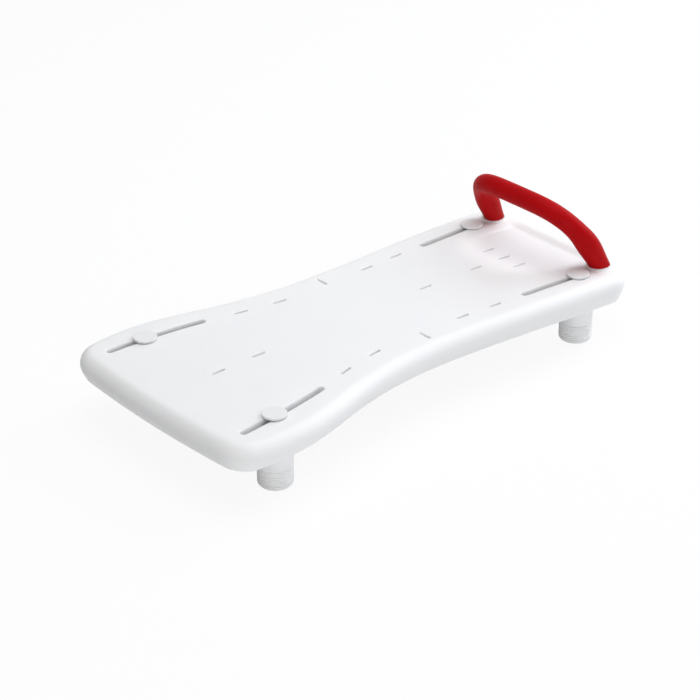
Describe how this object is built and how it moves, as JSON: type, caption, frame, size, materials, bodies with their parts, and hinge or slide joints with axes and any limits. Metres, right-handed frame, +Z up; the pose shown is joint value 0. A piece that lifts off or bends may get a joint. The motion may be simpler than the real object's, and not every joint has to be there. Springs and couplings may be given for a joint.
{
  "type": "bath board",
  "caption": "Waisted hollow bath board with drain slots, a leaning grab handle at one end, and legs that slide along slots and clamp.",
  "frame": {"origin": "centre of the bounding box's bottom, on the floor under the legs", "axes": "+Z up; +X along the board towards the handle's end; the board is mirror-symmetric about the XZ plane"},
  "size_m": [0.69, 0.3398, 0.1854],
  "materials": {
    "board_plastic": "satin moulded polyethylene",
    "cap_plastic": "satin",
    "handle_plastic": "satin red",
    "foot_rubber": "matt pale grey",
    "steel": "stainless, satin",
    "zinc": "zinc plated",
    "brass": "turned"
  },
  "bodies": {
    "board_body": {"board": "board_plastic", "handle": "handle_plastic", "handle_insert_front": "brass", "handle_washer_front": "steel", "handle_screw_front": "steel", "handle_insert_back": "brass", "handle_washer_back": "steel", "handle_screw_back": "steel"},
    "clamp_left_front": {"cap_left_front": "cap_plastic", "bolt_left_front": "steel", "washer_left_front": "zinc"},
    "leg_left_front": {"post_left_front": "board_plastic", "nut_left_front": "zinc", "sleeve_left_front": "foot_rubber"},
    "clamp_left_back": {"cap_left_back": "cap_plastic", "bolt_left_back": "steel", "washer_left_back": "zinc"},
    "leg_left_back": {"post_left_back": "board_plastic", "nut_left_back": "zinc", "sleeve_left_back": "foot_rubber"},
    "clamp_right_front": {"cap_right_front": "cap_plastic", "bolt_right_front": "steel", "washer_right_front": "zinc"},
    "leg_right_front": {"post_right_front": "board_plastic", "nut_right_front": "zinc", "sleeve_right_front": "foot_rubber"},
    "clamp_right_back": {"cap_right_back": "cap_plastic", "bolt_right_back": "steel", "washer_right_back": "zinc"},
    "leg_right_back": {"post_right_back": "board_plastic", "nut_right_back": "zinc", "sleeve_right_back": "foot_rubber"}
  },
  "joints": [
    {"name": "slide_left_front", "type": "slide", "parent": "board_body", "child": "clamp_left_front", "axis": [0.9918, 0.1254, 0.0244], "range_m": [-0.0464, 0.0776]},
    {"name": "turn_left_front", "type": "hinge", "parent": "clamp_left_front", "child": "leg_left_front", "pos_m": [-0.255, -0.12391, 0.07979], "axis": [0, 0, 1], "range_deg": [0, 360]},
    {"name": "slide_left_back", "type": "slide", "parent": "board_body", "child": "clamp_left_back", "axis": [0.9918, -0.1254, 0.0244], "range_m": [-0.0464, 0.0776]},
    {"name": "turn_left_back", "type": "hinge", "parent": "clamp_left_back", "child": "leg_left_back", "pos_m": [-0.255, 0.12391, 0.07979], "axis": [0, 0, 1], "range_deg": [0, 360]},
    {"name": "slide_right_front", "type": "slide", "parent": "board_body", "child": "clamp_right_front", "axis": [-0.9986, 0.0478, 0.0235], "range_m": [-0.005, 0.0911]},
    {"name": "turn_right_front", "type": "hinge", "parent": "clamp_right_front", "child": "leg_right_front", "pos_m": [0.268, -0.09867, 0.07959], "axis": [0, 0, 1], "range_deg": [0, 360]},
    {"name": "slide_right_back", "type": "slide", "parent": "board_body", "child": "clamp_right_back", "axis": [-0.9986, -0.0478, 0.0235], "range_m": [-0.005, 0.0911]},
    {"name": "turn_right_back", "type": "hinge", "parent": "clamp_right_back", "child": "leg_right_back", "pos_m": [0.268, 0.09867, 0.07959], "axis": [0, 0, 1], "range_deg": [0, 360]}
  ]
}
